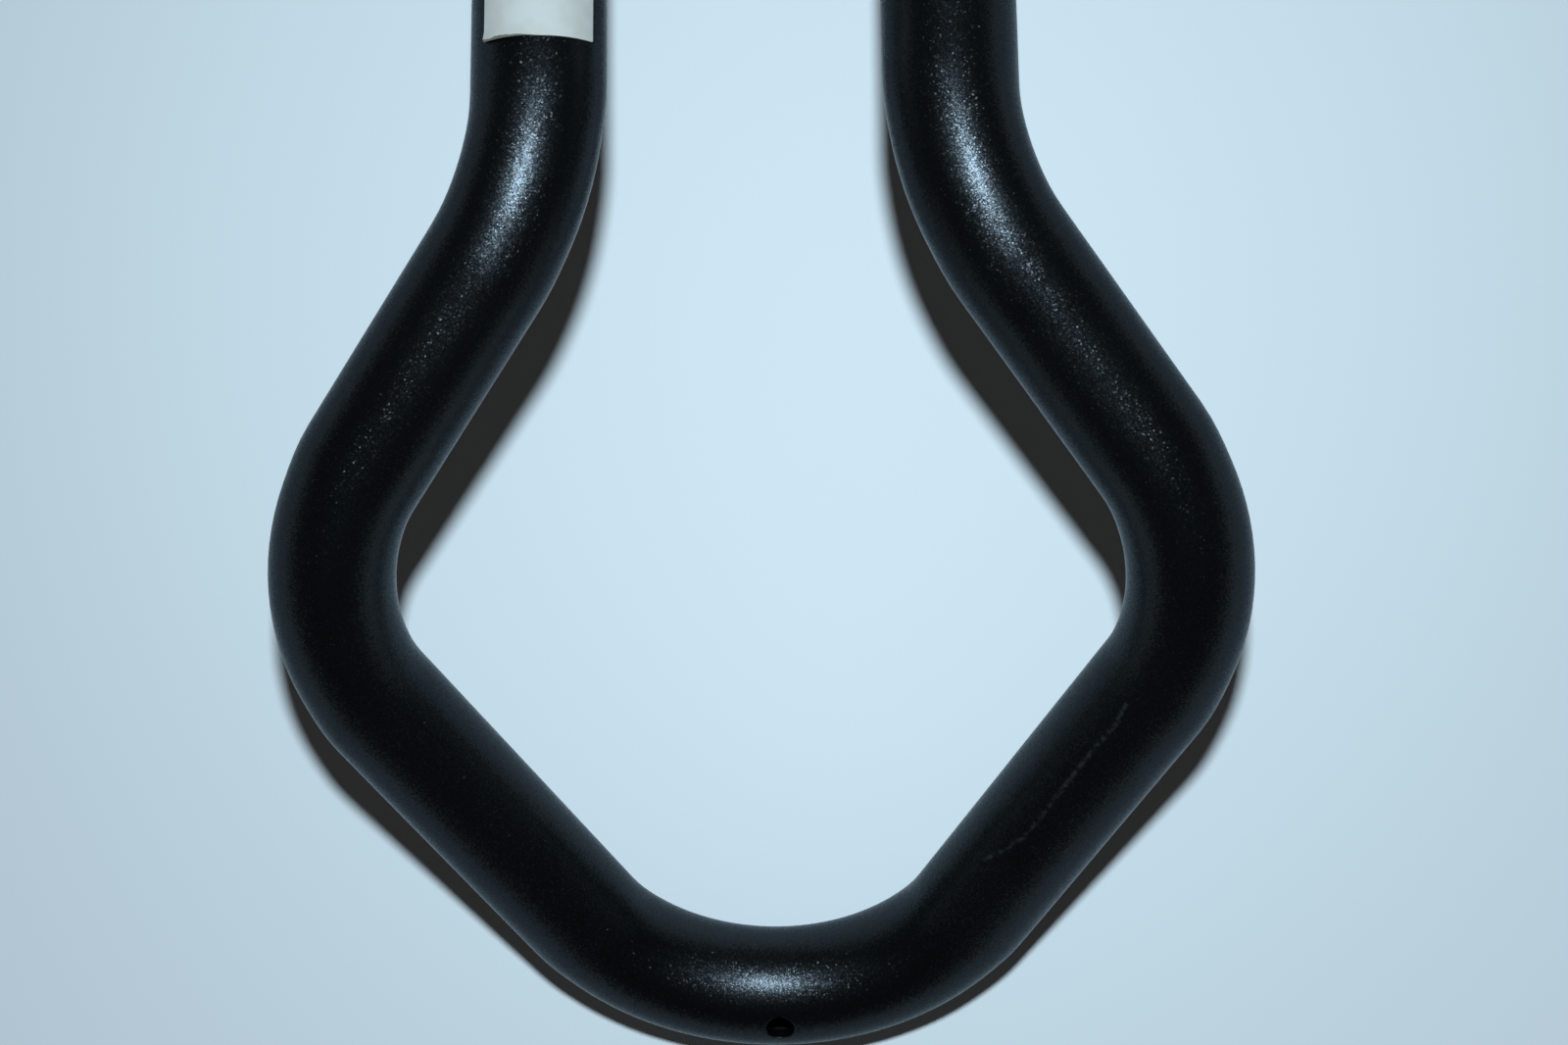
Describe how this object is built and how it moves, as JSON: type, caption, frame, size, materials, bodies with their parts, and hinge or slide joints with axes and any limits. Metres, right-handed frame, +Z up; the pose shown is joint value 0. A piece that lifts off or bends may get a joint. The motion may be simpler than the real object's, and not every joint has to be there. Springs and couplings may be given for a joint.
{
  "type": "aerobar",
  "caption": "Clip-on loop aerobar: one round black tube bent into an arched, symmetric loop with a narrow waist and two straight parallel legs for handlebar clamps.",
  "frame": {"origin": "on the table plane under the middle of the bar's bounding box, in its plane of symmetry", "axes": "+Y from the loop toward the leg ends, +X to the right seen from above with the legs pointing away, +Z up from the table that the loop's front and both leg ends touch"},
  "size_m": [0.1664, 0.3562, 0.0867],
  "materials": {
    "black_coat": "satin black powder coat with a fine grain",
    "bare_label": "matt cream paper"
  },
  "bodies": {
    "root": {"bent_tube": "black_coat"}
  },
  "joints": []
}
